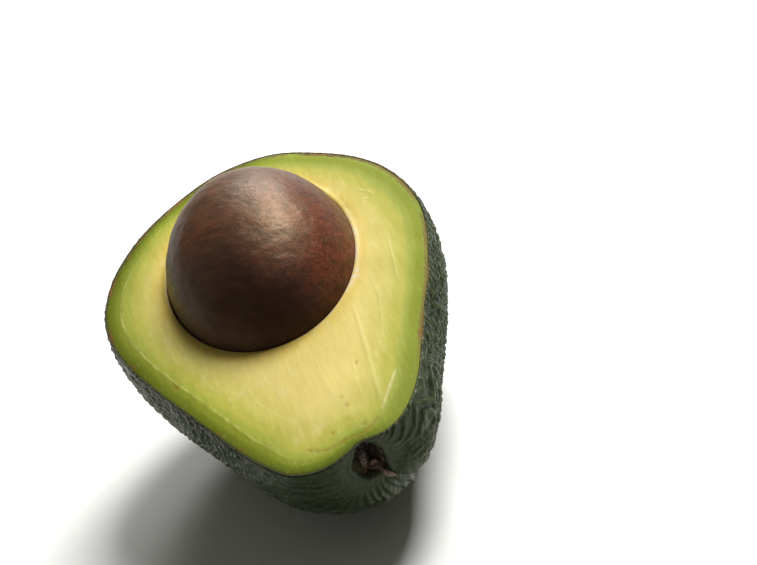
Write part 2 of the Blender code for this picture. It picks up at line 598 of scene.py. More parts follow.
def domes(place, size, crease):
    """Plump domes of one size with creases between them, longer along the fruit."""
    scaled = place * (1.0, 0.72, 1.0) * (1.0 / size)
    wobble = (noise(scaled, 0.55, detail=3.0, output="Color") - (0.5, 0.5, 0.5)) * 1.1
    cell = {"Vector": scaled + wobble, "Scale": 1.0}
    away = add(place.tree, "ShaderNodeTexVoronoi", cell, "Distance", feature="DISTANCE_TO_EDGE")
    return spread(away, -0.5 * crease, crease, -1.0, 1.0)


def pebble_field(place, size, crease):
    """Pebbles of one size, with lower ones of half the size laid over them."""
    return domes(place, size, crease) + domes(place, size * 0.52, crease) * 0.35


def wrinkle_field(from_stem, place, count):
    """Thin ridges that run to the stem like gathers, bent and merged by a little noise."""
    across, _, up = parts_of(from_stem)
    waves = maths("ARCTAN2", across, up) * count + noise(place, 130.0) * 26.0
    return spread(maths("SINE", waves), -0.6, 1.0)


def rind_tree(finish):
    """Raises pebbles and wrinkles on the rind, and presses its belly on the table."""
    tree, given = begin_tree(
        "rind",
        Geometry=["Geometry"],
        Float=["Pebble Size", "Pebble Height", "Wrinkle Count", "Wrinkle Height"],
        Vector=["Stem", "Cut Normal"],
    )
    place = named(tree, "fruit_place", "FLOAT_VECTOR")
    lying = named(tree, "lying")
    from_stem = place - given["Stem"]
    reach = vector_maths("LENGTH", {0: from_stem}, 1)

    patches = spread(noise(place, 95.0), 0.3, 0.7, 0.65, 1.1)
    pebbly = spread(reach, 0.012, 0.034, 0.12, 1.0) * patches
    pebbles = pebble_field(place, given["Pebble Size"], 0.42) * pebbly

    gathered = spread(reach, 0.0042, 0.0075) * spread(reach, 0.036, 0.018)
    gathered = gathered * spread(noise(place, 170.0), 0.35, 0.55, 0.6, 1.0)
    gathered = gathered * spread(parts_of(from_stem)[0], -0.006, 0.003, 0.30, 1.0)
    wrinkles = wrinkle_field(from_stem, place, given["Wrinkle Count"]) * gathered

    height = pebbles * given["Pebble Height"] + wrinkles * given["Wrinkle Height"]
    height = height * named(tree, "rise")
    height = height * spread(named(tree, "scar"), 0.6, 0.0)
    height = height * spread(lying, 0.0, 1.0, 1.0, 0.35)

    normal = add(tree, "GeometryNodeInputNormal")
    upward = vector_maths("DOT_PRODUCT", {0: normal, 1: given["Cut Normal"]}, 1)
    level = normal - given["Cut Normal"] * (upward * lying)
    grown = store(store(given["Geometry"], "pebbly", pebbly), "wrinkle", wrinkles)
    grown = moved(grown, Offset=level * height)
    x, y, z = parts_of(add(tree, "GeometryNodeInputPosition"))
    pressed = add(tree, "ShaderNodeCombineXYZ", {0: x, 1: y, 2: maths("MAXIMUM", z, 0.0)})
    return end_tree(tree, moved(grown, Position=pressed), finish)


def grow(piece, tree, values):
    """Runs a Geometry Nodes tree on a piece and leaves a plain mesh."""
    modifier = piece.modifiers.new(tree.name, "NODES")
    modifier.node_group = tree
    for item in tree.interface.items_tree:
        if item.in_out == "INPUT" and item.name in values:
            modifier[item.identifier] = values[item.name]
    now = bpy.context.evaluated_depsgraph_get()
    shown = piece.evaluated_get(now)
    mesh = bpy.data.meshes.new_from_object(shown, preserve_all_data_layers=True, depsgraph=now)
    piece.modifiers.remove(modifier)
    before = piece.data
    piece.data = mesh
    bpy.data.meshes.remove(before)
    mesh.name = piece.name


print("pebble and wrinkle helpers ready")

# %% [markdown]
# ## The skin's finish
#
# The rind is a very dark green with a dull shine like wax. The tops of the pebbles are
# painted a little paler, a painted highlight, and the valleys nearly black, painted shade.
# Painted light pales the right of the neck, and a painted reflection of the pale table
# pales the left of the belly. Along the cut the rind has dried to a thin line, olive to
# golden brown, and the stem's recess is dark brown.

# %% Skin material
PEBBLE_SIZE = 1.5 * MM


def skin_material():
    """Dark green with painted pebble highlights, painted valley shade, painted light and reflection, and
    a dried line at the cut.
    """
    finish, tree, shader = new_material("skin")
    place = attribute(tree, "fruit_place", "Vector")
    across, along, _ = parts_of(place)
    wrinkle = attribute(tree, "wrinkle")
    pebble = pebble_field(place, PEBBLE_SIZE, 0.22) * attribute(tree, "pebbly")
    blotch = noise(place, 160.0, detail=4.0)
    patches = noise(place, 130.0, detail=3.0)
    grain = noise(place, 1500.0, detail=3.0, roughness=0.6)
    # Painted highlight on the tops of the pebbles and wrinkles, painted shade in the valleys between
    # them.
    painted_top_highlight = spread(pebble + wrinkle, 0.35, 1.15)
    painted_valley_shade = spread(pebble + wrinkle, 0.30, 0.0)
    # Painted reflection of the pale table on the left of the belly, and painted light on the right of the
    # neck.
    painted_floor_reflection = spread(across, -0.020, -0.033) * spread(along, -0.016, 0.006)
    painted_neck_light = spread(along, -0.018, -0.034) * spread(across, -0.010, 0.010)

    edge = spread(attribute(tree, "rise"), 0.98, 0.6)
    golden = spread(across, -0.004, 0.012) * spread(patches, 0.38, 0.50)
    golden = golden * spread(along, -0.036, -0.026)
    reddish = spread(patches, 0.60, 0.66) * spread(along, -0.036, -0.028)
    dried = layered(
        (0.045, 0.045, 0.016),
        (golden, (0.150, 0.112, 0.040)),
        (reddish, (0.120, 0.045, 0.016)),
    )
    green = layered(
        (0.010, 0.021, 0.004),
        (spread(blotch, 0.35, 0.65), (0.020, 0.036, 0.007)),
        # painted highlight on the tops, painted shade in the valleys
        (painted_top_highlight * 0.6, (0.036, 0.052, 0.011)),
        (painted_valley_shade * 0.6, (0.003, 0.008, 0.003)),
        (spread(grain, 0.55, 0.75, 0.0, 0.25), (0.050, 0.065, 0.028)),
        # painted reflection on the belly's left, painted light on the neck's right
        (painted_floor_reflection * 0.5, (0.150, 0.160, 0.120)),
        (painted_neck_light * 0.35, (0.078, 0.084, 0.058)),
        (edge, dried),
        (attribute(tree, "scar"), (0.014, 0.008, 0.005)),
    )
    coarse = bump(pebble + wrinkle * 2.0, 0.8, 0.00013)
    fine = grain + noise(place, 700.0, detail=3.0) * 1.5
    fill(
        shader,
        {
            "Base Color": green,
            "Roughness": maths("MAXIMUM", spread(grain, 0.3, 0.7, 0.30, 0.46), edge * 0.75),
            "Specular IOR Level": spread(across, 0.004, 0.024, 0.25, 0.15),
            "Specular Tint": (0.92, 1.0, 0.74, 1.0),
            "Sheen Weight": 0.05,
            "Sheen Roughness": 0.3,
            "Normal": bump(fine, 0.7, 0.0002, Normal=coarse),
        },
    )
    return finish


grow(
    skin,
    rind_tree(skin_material()),
    {
        "Pebble Size": PEBBLE_SIZE,
        "Pebble Height": 0.4 * MM,
        "Wrinkle Count": 38.0,
        "Wrinkle Height": 0.75 * MM,
        "Stem": tuple(STEM),
        "Cut Normal": tuple(TURN @ (0.0, 0.0, 1.0)),
    },
)
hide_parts("skin")
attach(skin, "root")
print("skin with its pebbles:", triangles(skin), "triangles")

# %% [markdown]
# ## Flesh
#
# The flesh is one piece: a bowl under the skin, the cut face, and the hollow that the
# seed lies in. It could be three surfaces joined by a Boolean, but one set of rings has
# no seams: from the belly they climb to the cut, run inwards over the face, round over
# the hollow's lip and close at its bottom. The distances from the skin and from the
# hollow are stored on the way, because the colour follows them.

# %% Lay the flesh's rings
SEED_HALF_WIDTH = 19.8 * MM
SEED_HALF_LENGTH = 26.0 * MM
FLESH_INSET = SKIN + 0.02 * MM
FLESH_TURNS = 480
FACE_ROWS = 131
HOLLOW_LIP = ((0.04, 0.08), (0.0, 0.35), (0.0, 1.2))  # gap and depth, in millimetres
wall = bowl_rings(FLESH_TURNS, 38, FLESH_INSET, SEED_CENTRE[:2], crowd=0.12, spare=0.25)
rim = wall[-1]
toward_rim = (rim[:, :2] - SEED_CENTRE[:2]) / (SEED_HALF_WIDTH, SEED_HALF_LENGTH)
turn = np.arctan2(toward_rim[:, 1], toward_rim[:, 0])
snug = (0.04 + 0.10 * np.clip(-np.cos(turn - 0.5), 0.0, 1.0)) * MM


def hollow_edge(gap, height):
    """The seed's outline at a height, with a gap round it."""
    drop = (height - SEED_CENTRE[2]) / (SEED_HALF_WIDTH + gap.mean())
    squeeze = math.sqrt(1.0 - drop**2)
    across = (SEED_HALF_WIDTH + gap) * squeeze * np.cos(turn)
    along = (SEED_HALF_LENGTH + gap) * squeeze * np.sin(turn)
    return columns(SEED_CENTRE[0] + across, SEED_CENTRE[1] + along, height)


def to_line(points, start, end):
    """Distance to a straight line on the face, and how far along it each point lies."""
    run = end - start
    offset = points[..., :2] - start
    part = np.clip(offset @ run / (run @ run), 0.0, 1.0)
    return np.linalg.norm(offset - part[..., None] * run, axis=-1), part


def nearest(points, outline):
    """Distance from each point to a closed outline, looking at X and Y only."""
    best = np.full(points.shape[:-1], 1.0)
    corners = outline[:, :2]
    for start, end in zip(corners, np.roll(corners, -1, axis=0)):
        best = np.minimum(best, to_line(points, start, end)[0])
    return best


hollow_top = hollow_edge(snug + 0.14 * MM, CUT)
lip_rows = [hollow_edge(snug + gap * MM, CUT - depth * MM) for gap, depth in HOLLOW_LIP]
sinks = 0.999 * SEED_HALF_WIDTH * np.sin(np.linspace(-0.05, math.pi / 2 - 0.03, 14))
hollow = np.stack(lip_rows + [hollow_edge(snug, SEED_CENTRE[2] - sink) for sink in sinks])

share = np.linspace(0.0, 1.0, FACE_ROWS + 1)[1:]
share = 0.45 * share + 0.55 * (1.0 - np.cos(math.pi * share)) / 2
face = rim + (hollow_top - rim) * share[:, None, None]
from_edge = nearest(face, rim)
from_hollow = nearest(face, hollow_top)
face[..., 2] = cut_height(face[..., 0], face[..., 1], from_edge)
face[..., 2] += (0.18 * fade(from_hollow, 0.8 * MM) - 0.12 * fade(from_hollow, 0.25 * MM)) * MM
print("face:", face.shape[0], "rows of", face.shape[1], "points")

# %% [markdown]
# ## Marks on the face
#
# The knife has opened a few of the pale strands that run from the stem through the
# flesh, and there are brown specks and a thin scratch near the neck. Drawn in the
# material alone they would look printed, so each is a soft line or dot that raises or
# sinks the face a little and is stored for the colour. So are the torn lining at the
# hollow's right side and the olive patch beside it, a painted shade of a shallow crease
# that the mesh doesn't carry.

# %% Strands, specks and the lining
STRANDS = (  # start, end and half-width in millimetres, and strength
    ((12.9, -8.0), (10.4, -38.3), 0.34, 0.5),
    ((15.4, -30.8), (10.0, -39.4), 0.30, 1.0),
    ((8.8, -20.0), (7.6, -31.0), 0.18, 0.35),
    ((2.0, -22.0), (3.2, -34.0), 0.18, 0.25),
    ((18.5, -8.0), (15.6, -21.0), 0.18, 0.35),
    ((24.5, 6.0), (22.6, -8.0), 0.20, 0.35),
    ((-12.0, -22.0), (-6.5, -33.0), 0.18, 0.2),
    ((22.9, 22.6), (23.8, 21.5), 0.24, 0.45),
    ((24.4, 21.2), (25.2, 19.6), 0.26, 0.45),
    ((23.2, 19.4), (24.0, 18.6), 0.20, 0.35),
)
DOTS = (  # place on the face and half-width, in millimetres
    ((5.9, -41.3), 0.42), ((0.0, -40.0), 0.38), ((4.3, -34.6), 0.34), ((3.9, -31.9), 0.26),
    ((3.4, -38.2), 0.28), ((9.0, -24.8), 0.22), ((-24.8, -9.4), 0.75), ((1.2, -43.4), 0.30),
)
SCRATCH = (  # the scratch's corners, in millimetres
    (-5.4, -41.3), (-3.3, -43.1), (-1.1, -43.6), (1.3, -43.0),
    (3.4, -43.1), (5.2, -43.3), (6.8, -42.6), (8.6, -41.2),
)
SCRATCH_HALF_WIDTH = 0.34 * MM
RELIEF = 0.12 * MM  # how far strands stand up and marks sink

strand = np.zeros(face.shape[:-1])
for start, end, half, strength in STRANDS:
    away, part = to_line(face, np.array(start) * MM, np.array(end) * MM)
    waver = 1.0 + 0.25 * np.sin(part * 37.0 + half * 50.0)
    taper = np.clip(part * 6.0, 0.0, 1.0) * np.clip((1.0 - part) * 9.0 + 0.35, 0.0, 1.0)
    strand = np.maximum(strand, strength * fade(away, half * MM * waver) * taper)

dot = np.zeros(face.shape[:-1])
for place, half in DOTS:
    away = np.linalg.norm(face[..., :2] - np.array(place) * MM, axis=-1)
    dot = np.maximum(dot, fade(away, half * MM))
corners = np.array(SCRATCH) * MM
for start, end in zip(corners, corners[1:]):
    away, _ = to_line(face, start, end)
    dot = np.maximum(dot, 0.7 * fade(away, SCRATCH_HALF_WIDTH))
face[..., 2] += RELIEF * (strand - dot)

toward = np.arctan2(face[..., 1] - SEED_CENTRE[1], face[..., 0] - SEED_CENTRE[0])
width = 0.40 + 0.50 * fade(toward + 0.25, 0.22) + 1.2 * fade(toward + 0.75, 0.13)
lining = fade(from_hollow, width * MM, 4)
lining *= 0.2 + 0.8 * smooth_step(toward, -1.6, -1.1) * smooth_step(toward, 0.30, 0.0)
# An olive patch beside the hollow's upper right: painted shade of a crease, with no relief in the mesh.
crease = fade(from_hollow - 0.8 * MM, 1.0 * MM) * fade(toward - 0.25, 0.2)


def over_rows(before, values, after):
    """A value for every vertex: one for the outer wall, given ones on the face, one beyond."""
    outside = np.full(wall.shape[:2], before)
    beyond = np.broadcast_to(after, hollow.shape[:2])
    whole = np.concatenate([outside, values, beyond])
    return np.concatenate([[before], whole.ravel(), beyond[-1, -1:]])


flesh_rings = np.concatenate([wall, face, hollow])
belly_flesh = belly + (0.0, 0.0, FLESH_INSET)
hollow_floor = SEED_CENTRE - (0.0, 0.0, SEED_HALF_WIDTH + 0.2 * MM)
hollow_depth = np.linspace(0.2, 8.0, len(hollow))[:, None]
marks = {"strand": strand, "dot": dot, "lining": lining, "crease": crease}
flesh = ringed_mesh(
    "cut_flesh",
    on_table(flesh_rings, FLESH_INSET),
    on_table(belly_flesh, FLESH_INSET),
    to_world(hollow_floor),
    {
        "fruit_place": np.concatenate([[belly_flesh], flesh_rings.reshape(-1, 3), [hollow_floor]]),
        "edge": over_rows(0.0, from_edge / MM, 20.0),
        "core": over_rows(50.0, from_hollow / MM, -hollow_depth),
        "band": over_rows(1.0, left_side(face[..., 0], face[..., 1]), 0.0),
        **{name: over_rows(0.0, mark, 0.0) for name, mark in marks.items()},
    },
)
print("flesh:", triangles(flesh), "triangles")

# %% [markdown]
# ## The flesh's finish
#
# Under the skin the flesh is green. Over a centimetre and a half it turns to yellow-green
# and then to butter yellow, deepest beside the seed. Where air has dried the rim there is
# a ragged brown line. Ripe flesh lets light in, so a little subsurface scattering keeps
# it from looking like plaster, and a soft gloss shows that it is moist.


# %% Flesh material
def flesh_material():
    """Green to butter yellow by the distance from the skin, with marks laid over it."""
    finish, tree, shader = new_material("flesh")
    place = attribute(tree, "fruit_place", "Vector")
    across, along, _ = parts_of(place)
    edge = attribute(tree, "edge")
    core = attribute(tree, "core")
    band = attribute(tree, "band")
    cloud = noise(place, 110.0, detail=3.0)
    patches = noise(place, 130.0, detail=3.0)
    mottle = noise(place, 420.0, detail=4.0)
    fibres = noise(place * (1.0, 0.14, 1.0), 1300.0, detail=3.0, roughness=0.6)

    shift = (cloud - 0.5) * 3.0
    depth = edge + (shift + (fibres - 0.5) * 0.9) * spread(edge, 0.6, 3.0)
    depth = depth * spread(along, -0.018, -0.036, 1.0, 0.88)
    depth = depth * spread(across, -0.020, -0.030, 1.0, 0.78)
    by_depth = ramp(
        depth / 16.0,
        (
            (0.00, (0.100, 0.130, 0.012)),
            (0.06, (0.160, 0.200, 0.018)),
            (0.13, (0.260, 0.300, 0.030)),
            (0.21, (0.370, 0.395, 0.048)),
            (0.33, (0.490, 0.460, 0.070)),
            (0.52, (0.620, 0.535, 0.130)),
            (0.90, (0.730, 0.595, 0.185)),
        ),
    )
    light = spread(across, 0.002, 0.014, 0.0, 0.75) * spread(edge, 5.0, 1.3)

    waver = edge + (cloud - 0.5) * 0.3 + (mottle - 0.5) * 0.5
    # Outside the step line on the left the flesh is darker green: partly its own greener colour near the
    # skin, partly painted shade on the bevel.
    beyond = band * spread(waver, 3.3, 2.2)
    # A pale line along the crisp step: a painted highlight where its edge catches the lamp.
    step = spread(waver, 2.90, 3.12) * spread(waver, 3.55, 3.24) * band
    step = step * spread(noise(place, 260.0), 0.40, 0.62, 0.15, 0.55)
    step = step * spread(noise(place, 900.0, detail=3.0), 0.36, 0.56, 0.25, 1.0)

    ragged = noise(place, 800.0, detail=4.0, roughness=0.7) - 0.5
    dried = spread(edge + ragged * 1.8, 0.80, 0.30)
    right = spread(across, 0.0, 0.012) * spread(patches, 0.32, 0.42)
    right = right * spread(along, -0.034, -0.026, 0.0, 0.8)
    far = spread(along, 0.026, 0.036) * spread(patches, 0.36, 0.50, 0.0, 0.85)
    rusty = spread(patches, 0.52, 0.62, 0.0, 0.8) * spread(along, -0.038, -0.030)

    golden = spread(core + shift, 4.5, 0.0)
    # Painted shade of a crease beside the hollow.
    olive = attribute(tree, "crease") * spread(mottle, 0.35, 0.60, 0.5, 1.0)
    torn = noise(place, 850.0, detail=4.0, roughness=0.65)
    papery = attribute(tree, "lining") * spread(torn, 0.38, 0.58, 0.2, 0.9)
    creamy = noise(place * (1.0, 0.45, 1.0), 520.0, detail=4.0, roughness=0.6)
    flecks = spread(creamy, 0.52, 0.72, 0.0, 0.35) * spread(edge, 3.0, 8.0)
    grit = spread(noise(place, 1600.0), 0.60, 0.78, 0.0, 0.22)
    colour = layered(
        by_depth,
        (light, (0.285, 0.330, 0.042)),
        # darker green on the bevel, partly painted shade
        (beyond * 0.25, (0.260, 0.290, 0.026)),
        # painted highlight along the step
        (step, (0.680, 0.670, 0.200)),
        (dried * right, (0.210, 0.150, 0.048)),
        (dried * far, (0.120, 0.080, 0.028)),
        (dried * rusty, (0.240, 0.130, 0.035)),
        (golden * 0.70, (0.680, 0.465, 0.062)),
        # painted crease shade
        (olive, (0.430, 0.350, 0.035)),
        (papery, (0.700, 0.600, 0.390)),
        # painted shade in the gap round the seed: the hollow's wall below its lip is brown
        (spread(core, -0.3, -1.5), (0.240, 0.140, 0.040)),
        (attribute(tree, "strand") * 0.5, (0.780, 0.700, 0.330)),
        (flecks, (0.760, 0.680, 0.300)),
        (grit, (0.760, 0.720, 0.280)),
    )
    # Painted shade: darker on the left, where the face falls away from the lamp, and a little darker
    # towards the neck and on the far right.
    painted_dimming = spread(across, -0.014, -0.027, 0.0, 0.20) * spread(along, -0.014, 0.004)
    painted_dimming = painted_dimming + spread(along, -0.026, -0.038, 0.0, 0.10)
    painted_dimming = painted_dimming + spread(across, 0.012, 0.019, 0.0, 0.05)
    colour = colour * (spread(fibres, 0.35, 0.7, 0.96, 1.03) * (1.0 - painted_dimming))
    frayed = spread(noise(place, 1100.0, detail=4.0, roughness=0.7), 0.40, 0.60, 0.35, 1.2)
    colour = blend(attribute(tree, "dot") * frayed, colour, (0.280, 0.180, 0.024))
    fill(
        shader,
        {
            "Base Color": colour,
            "Roughness": spread(fibres, 0.3, 0.7, 0.36, 0.50),
            "Specular IOR Level": spread(edge, 4.0, 1.5, 0.24, 0.04),
            "Subsurface Weight": 0.25,
            "Subsurface Radius": (1.0, 0.9, 0.25),
            "Subsurface Scale": 0.0025,
            "Normal": bump(fibres + mottle, 0.25, 0.0001),
        },
    )
    return finish


flesh.data.materials.append(flesh_material())
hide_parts("flesh")
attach(flesh, "root")
print("flesh finish:", len(flesh.data.materials[0].node_tree.nodes), "nodes")

# %% [markdown]
# ## Seed
#
# The seed is an egg form with a papery brown coat that wrinkles as it dries. It could be
# sculpted, but its shape follows a rule, so Geometry Nodes make all of it: a sphere is
# stretched to the seed's size, and noise raises low swells and fine wrinkles. The place
# on the seed is stored for the material.

# %% The seed's tree
GRAIN_TURN = 0.45  # the wrinkles run at this angle, in radians, to the cut's width


def along_grain(place):
    """A place on the seed, turned so that X runs along its wrinkles."""
    inputs = {"Vector": place, "Angle": GRAIN_TURN}
    return add(place.tree, "ShaderNodeVectorRotate", inputs, rotation_type="Z_AXIS")


def seed_tree(finish):
    """Makes the whole seed: a stretched sphere with swells and wrinkles, laid in its place."""
    tree, given = begin_tree(
        "seed",
        Vector=["Half Size", "Centre", "Dip"],
        Float=["Swell Height", "Wrinkle Height"],
    )
    place = add(tree, "GeometryNodeInputPosition")
    ball = add(tree, "GeometryNodeMeshUVSphere", {"Segments": 300, "Rings": 200, "Radius": 1.0})
    sideways = {"Geometry": ball, "Rotation": (math.pi / 2, 0.0, 0.0)}
    formed = moved(add(tree, "GeometryNodeTransform", sideways), Position=place * given["Half Size"])

    dents = noise(place, 240.0, detail=1.0) - 0.5
    swells = noise(place, 55.0, detail=1.0) - 0.5 + dents * 0.25
    bend = noise(place, 90.0, output="Color") * 0.008
    wrinkles = noise((along_grain(place) + bend) * (0.45, 1.0, 1.0), 360.0) - 0.5
    height = swells * given["Swell Height"] + wrinkles * given["Wrinkle Height"]
    stored = store(formed, "seed_place", place, "FLOAT_VECTOR")
    raised = moved(stored, Offset=add(tree, "GeometryNodeInputNormal") * height)

    lying = {"Geometry": raised, "Translation": given["Centre"], "Rotation": given["Dip"]}
    laid = add(tree, "GeometryNodeTransform", lying)
    return end_tree(tree, add(tree, "GeometryNodeSetShadeSmooth", {"Geometry": laid}), finish)


print("the wrinkles run at", round(math.degrees(GRAIN_TURN)), "degrees")

# %% [markdown]
# ## The seed's finish
#
# The coat is mottled: dark chocolate, with smudges, paler patches where it is thin, and
# a redder right side that is finely crackled. Its shine is broad and soft, like eggshell
# paint, and fades towards the stem end. Painted light makes the far end paler, painted
# shade darkens the lower side towards the stem end and the left, and a painted sheen
# makes the lower left a paler brown.


# %% Seed material
def seed_material():
    """Mottled chocolate brown, redder and crackled on one side, duller below, with painted light, shade
    and sheen.
    """
    finish, tree, shader = new_material("seed")
    place = attribute(tree, "seed_place", "Vector")
    grain = along_grain(place)
    cloud = noise(place, 90.0, detail=4.0, roughness=0.6)
    mottle = noise(grain * (0.80, 1.0, 1.0), 800.0, detail=5.0, roughness=0.7)
    smudges = noise(grain * (0.70, 1.0, 1.0), 230.0, detail=5.0, roughness=0.65)
    blotches = noise(place, 560.0, detail=5.0, roughness=0.7)
    crackle = noise(place, 1500.0, detail=4.0, roughness=0.75)
    speck = noise(place, 2600.0)

    patchy = (cloud - 0.5) * 0.02
    across, along = (part + patchy for part in parts_of(place)[:2])
    lower = across * 0.7 + along
    redder = spread(across, -0.004, 0.012) * spread(along, 0.010, -0.008, 0.4, 1.0)
    ruddy = spread(across, -0.004, 0.010, 0.25, 1.0)
    # Painted shade: darker on the lower side, towards the stem end, and on the left. On the lower left
    # the colour is a paler brown, a painted sheen.
    below = spread(lower, -0.002, -0.020, 0.0, 0.8)
    painted_shade_amount = maths("MAXIMUM", below, spread(across, -0.006, -0.017, 0.0, 0.3))
    painted_shade_and_sheen = blend(spread(across, -0.002, -0.015), (0.030, 0.0155, 0.0125), (0.088, 0.050, 0.034))
    colour = layered(
        (0.052, 0.023, 0.012),
        (spread(cloud, 0.35, 0.65), (0.104, 0.038, 0.018)),
        (redder, (0.122, 0.024, 0.009)),
        # painted light: a paler tan towards the far end, under the highlight
        (spread(along, 0.000, 0.014, 0.0, 0.6), (0.120, 0.060, 0.022)),
        (spread(mottle, 0.45, 0.72, 0.0, 0.45), (0.170, 0.058, 0.024)),
        (spread(speck, 0.60, 0.72, 0.0, 0.4), (0.200, 0.095, 0.045)),
        (spread(mottle, 0.45, 0.30, 0.0, 0.6), (0.026, 0.011, 0.007)),
        (spread(smudges, 0.52, 0.38, 0.0, 0.55), (0.034, 0.015, 0.009)),
        (spread(blotches, 0.50, 0.40, 0.0, 0.5) * ruddy, (0.030, 0.011, 0.007)),
        (spread(crackle, 0.49, 0.38, 0.0, 0.55) * ruddy, (0.028, 0.012, 0.008)),
        (spread(crackle, 0.53, 0.66, 0.0, 0.5) * ruddy, (0.240, 0.080, 0.045)),
        # painted shade below, painted sheen on the lower left
        (painted_shade_amount, painted_shade_and_sheen),
    )
    gloss = spread(lower, -0.006, -0.020, 0.50, 0.16) - spread(across, 0.006, 0.016, 0.0, 0.22)
    fill(
        shader,
        {
            "Base Color": colour,
            "Roughness": spread(mottle, 0.3, 0.7, 0.47, 0.36),
            "Specular IOR Level": gloss,
            "Specular Tint": (1.0, 0.69, 0.37, 1.0),
            "Normal": bump(mottle * 1.4 + crackle * 0.5, 0.4, 0.0002),
        },
    )
    return finish


seed = bpy.data.objects.new("wrinkled_seed", bpy.data.meshes.new("wrinkled_seed"))
bpy.context.scene.collection.objects.link(seed)
grow(
    seed,
    seed_tree(seed_material()),
    {
        "Half Size": (SEED_HALF_WIDTH, SEED_HALF_LENGTH, SEED_HALF_WIDTH),
        "Centre": tuple(to_world(SEED_CENTRE)),
        "Dip": (DIP, 0.0, 0.0),
        "Swell Height": 0.7 * MM,
        "Wrinkle Height": 0.26 * MM,
    },
)
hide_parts("seed")
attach(seed, "root")
print("seed:", triangles(seed), "triangles")

# %% [markdown]
# ## Stem stub
#
# The stem has snapped off and left a ragged dish of dry wood, with a broken peg in it and
# one torn flap that hangs out over the edge. It could be a plain plug, but the break is
# what catches the eye, so its depth is a formula of swells and ribs, laid in rings. Then
# Geometry Nodes stand splinters in the dish and join the flap on: points are scattered
# with a fixed seed, and each gets a thin cone of its own length and lean.

# %% The plug and its splinters
DISH_DEPTH = 1.9  # in millimetres
PLUG_DEPTH = 3.4 * MM
PLUG_TURNS = 160
FLAP_ROWS = 26
FLAP_TURNS = 28
FLAP_WIDE = np.array([0.67, 0.0, 0.74])
FLAP_THICK = np.array([0.0, 0.22, 0.0]) * MM
FLAP_TIP = np.array([0.35, 0.0, -0.30]) * MM


def scar_depth(out, around):
    """How deep the scar's surface lies behind the skin, at a share of its radius."""
    across, up = out * np.sin(around), out * np.cos(around)
    floor = DISH_DEPTH - DISH_DEPTH * smooth_step(out, 0.70, 1.0)
    hole = 0.8 * fade(across - 0.35, 0.28) * fade(up - 0.30, 0.38)
    peg = 1.5 * fade(across + 0.32, 0.30, 4) * fade(up + 0.25, 0.52, 4)
    root = fade(across - 0.35, 0.34) * fade(up + 0.75, 0.22)
    ribs = 0.14 * np.sin(21.0 * across + 3.0 * np.sin(5.0 * up)) + 0.08 * np.sin(37.0 * across + 4.0 * up)
    lumps = 0.10 * np.sin(9.0 * across + 1.0) * np.sin(11.0 * up + 2.0)
    rough = (ribs + lumps) * (1.0 - smooth_step(out, 0.85, 1.0))
    return (floor + hole - peg - root + rough) * MM


def stem_plug():
    """The scar's lining: a ragged dish with a broken peg, closed by a plain back."""
    around = circle(PLUG_TURNS)
    front = np.linspace(0.0, 1.0, 46)[1:]
    back = np.linspace(1.0, 0.0, 8)[:-1]
    depths = np.array([scar_depth(out, around) for out in front])

    def at(out, depth):  # a ring at a share of the scar's radius
        radius = out * scar_edge(around)
        up = STEM[2] + SCAR_HALF_HEIGHT * radius * np.cos(around)
        across = STEM[0] + SCAR_HALF_WIDTH * radius * np.sin(around)
        return columns(across, STEM[1] + depth, np.minimum(up, CUT - 0.4 * MM))

    rings = [at(out, depth) for out, depth in zip(front, depths)]
    rings += [at(out, PLUG_DEPTH) for out in back]
    # How high each point stands, for the painted shade that darkens the deep parts of the dish.
    high = 1.0 - np.clip(depths / (DISH_DEPTH * MM), 0.0, 1.0)
    high = np.concatenate([[0.6], high.ravel(), np.zeros(len(back) * PLUG_TURNS + 1)])
    poles = (to_world(STEM + (0.0, depth, 0.0)) for depth in (scar_depth(0.0, 0.0), PLUG_DEPTH))
    return ringed_mesh("broken_stem", to_world(np.stack(rings)), *poles, {"high": high})


def torn_flap():
    """A strip of bark that is still held at the scar's lower edge and bends outwards."""
    along = np.linspace(0.0, 1.0, FLAP_ROWS)
    around = circle(FLAP_TURNS)
    arch = np.sin(math.pi * along)
    across = STEM[0] + (-0.1 + 3.2 * along) * MM
    up = STEM[2] - (2.3 + 2.9 * along - 0.4 * arch) * MM
    towards_stem = np.tile([0.0, -1.0, 0.0], (FLAP_ROWS, 1))
    resting = uneven(ray_hit(columns(across, -25.0 * MM, up), towards_stem), 0.0)
    free = smooth_step(along, 0.15, 0.5)
    held = STEM[1] + 0.9 * MM
    depth = (1.0 - free) * held + free * (resting[:, 1] - 0.30 * MM) - 0.25 * MM * (arch + along)
    half = 0.75 * (1.0 - 0.45 * along) * (1.0 + 0.18 * np.sin(11.0 * along)) * MM
    crumple = 1.0 + 0.16 * np.sin(5.0 * around + across[:, None] * 9000.0)
    wide = (half[:, None] * np.cos(around) * crumple)[..., None] * FLAP_WIDE
    thick = np.sin(around)[:, None] * FLAP_THICK
    rings = to_world(columns(across, depth, up)[:, None] + wide + thick)
    root, tip = rings[[0, -1]].mean(axis=1)
    tip = tip + TURN @ FLAP_TIP
    # The flap stands high, so it gets little painted shade.
    high = np.full(FLAP_ROWS * FLAP_TURNS + 2, 0.8)
    return ringed_mesh("torn_flap", rings, root, tip, {"high": high})


